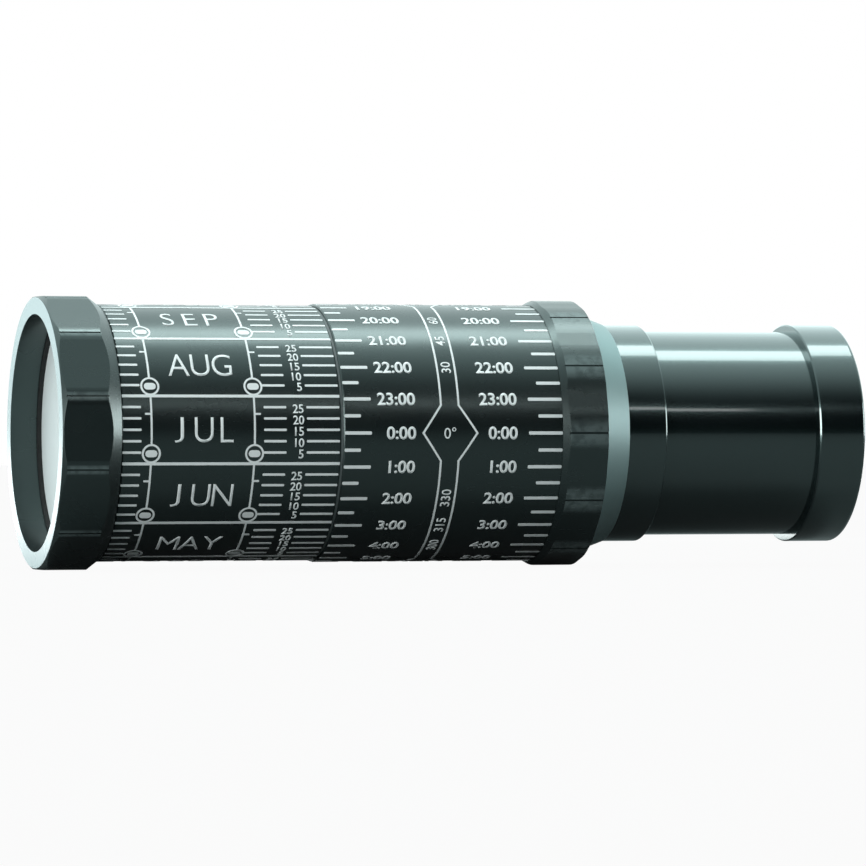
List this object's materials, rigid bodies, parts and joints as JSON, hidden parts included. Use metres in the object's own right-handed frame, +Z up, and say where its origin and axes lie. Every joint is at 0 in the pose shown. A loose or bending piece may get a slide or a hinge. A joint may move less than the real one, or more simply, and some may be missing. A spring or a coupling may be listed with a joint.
{
  "type": "star finder viewer eyepiece",
  "caption": "Hand-held viewing tube with a turning date barrel, an hour dial, a front diffuser and a sliding eyepiece tube, for finding which stars are up.",
  "frame": {"origin": "on the optical axis, at the centre of the front rim", "axes": "+X along the optical axis from the front rim to the eye, +Z up, with the object lying on its side"},
  "size_m": [0.1978, 0.064, 0.064],
  "materials": {
    "grip": "satin",
    "dial": "satin, white printed dials",
    "tube": "gloss",
    "shoulder": "satin anodised",
    "opal": "frosted opal",
    "inner_black": "matte",
    "bearing": "waxy",
    "spring": "bright",
    "washer": "matte",
    "felt": "napped",
    "film": "printed film",
    "seal": "matte",
    "lens": "polished, coated"
  },
  "bodies": {
    "main_body": {"core_tube": "inner_black", "core_retaining_nut": "inner_black", "horizon_mask": "inner_black", "curved_spring_washer": "spring", "friction_washer": "washer", "hour_barrel": "dial", "grip_collar": "grip", "shoulder_ring": "shoulder", "focus_sleeve": "tube", "front_felt_band": "felt", "rear_felt_band": "felt"},
    "date_ring": {"date_barrel": "dial", "front_bearing_ring": "bearing", "rear_bearing_ring": "bearing", "map_carrier_ring": "inner_black", "star_map_film": "film", "map_clamp_ring": "inner_black"},
    "bezel": {"front_bezel": "grip", "diffuser_disc": "opal", "diffuser_retaining_ring": "inner_black", "bezel_seal_ring": "seal"},
    "focus_tube": {"draw_tube": "tube", "field_lens": "lens", "field_lens_cell": "inner_black", "field_stop": "inner_black", "eye_lens": "lens", "eye_lens_retaining_ring": "inner_black", "eye_cap": "tube"}
  },
  "joints": [
    {"name": "date_ring_turn", "type": "hinge", "parent": "main_body", "child": "date_ring", "pos_m": [0.0335, 0, 0], "axis": [1, 0, 0], "continuous": true},
    {"name": "bezel_off", "type": "slide", "parent": "date_ring", "child": "bezel", "axis": [-1, 0, 0], "range_m": [0, 0.02]},
    {"name": "focus_slide", "type": "slide", "parent": "main_body", "child": "focus_tube", "axis": [1, 0, 0], "range_m": [-0.03, 0.0078]}
  ]
}
